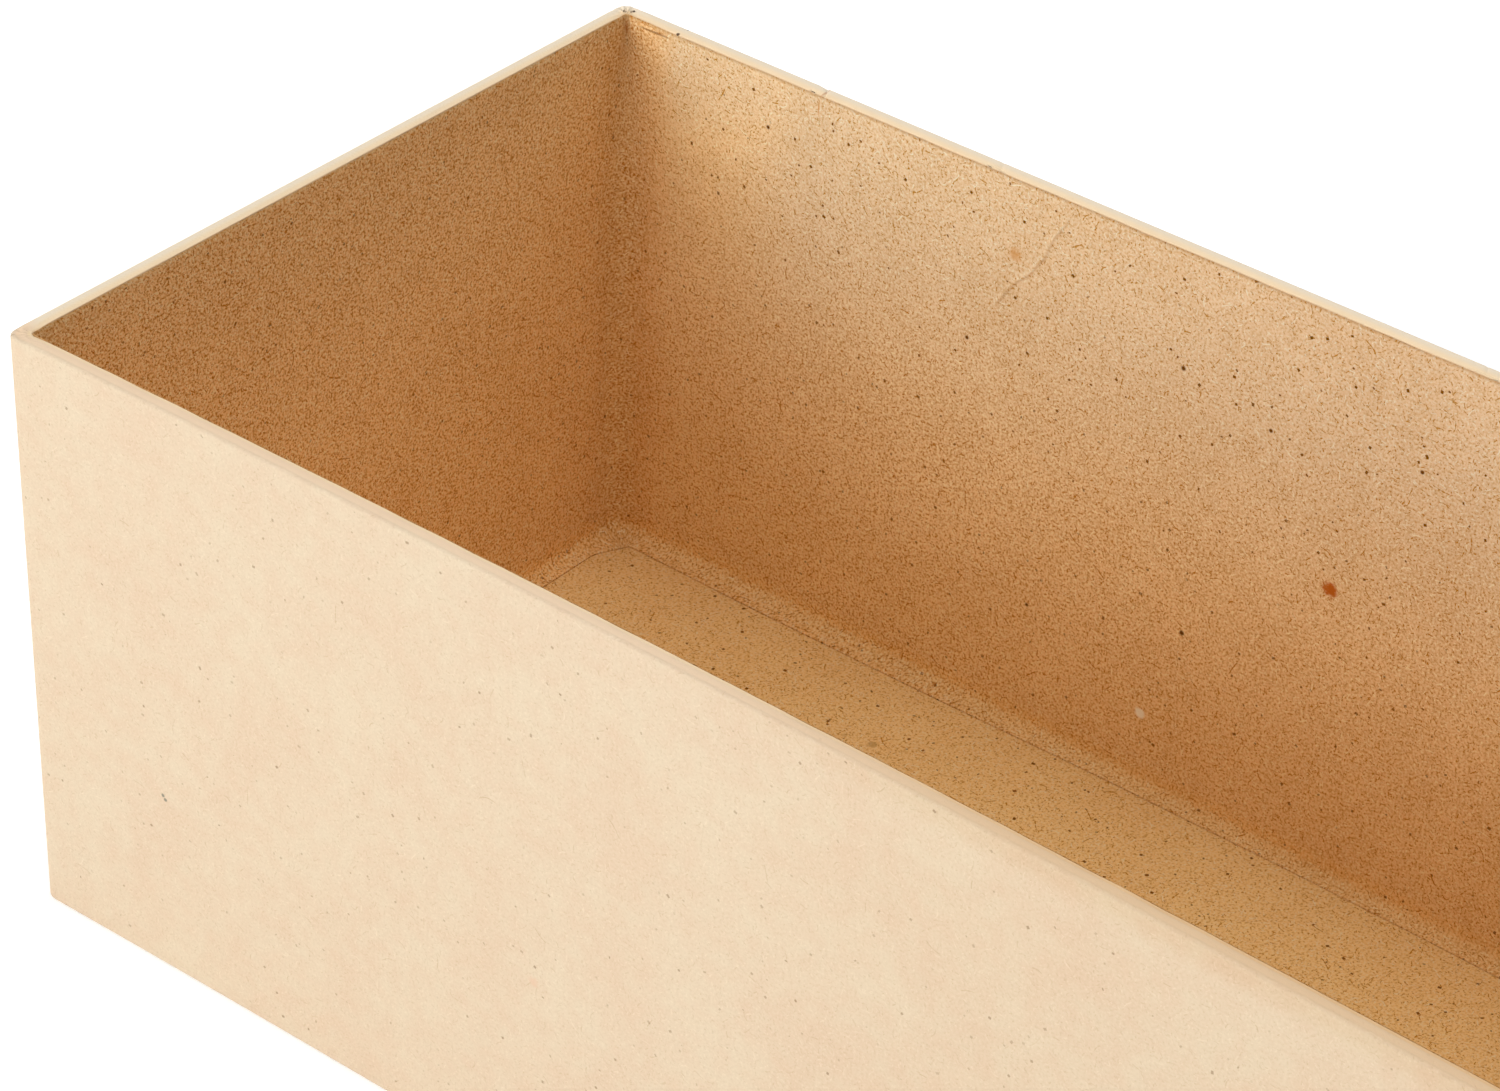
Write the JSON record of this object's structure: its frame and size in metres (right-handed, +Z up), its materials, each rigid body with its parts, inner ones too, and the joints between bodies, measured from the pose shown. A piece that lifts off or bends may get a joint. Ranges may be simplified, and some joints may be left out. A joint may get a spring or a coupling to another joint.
{
  "type": "papier-mache box",
  "caption": "Open rectangular papier-mache box with rounded rim, kraft wall lining with coved corners and a flat floor card; no lid.",
  "frame": {"origin": "centre of the underside, on the surface the box stands on", "axes": "+Z up out of the mouth, +X along the long side, -Y out of the front wall"},
  "size_m": [0.255, 0.1319, 0.1],
  "materials": {
    "kraft_cover": "matte",
    "kraft_lining": "matte",
    "kraft_card": "matte"
  },
  "bodies": {
    "root": {"box_body": "kraft_cover", "wall_lining": "kraft_lining", "floor_card": "kraft_card"}
  },
  "joints": []
}
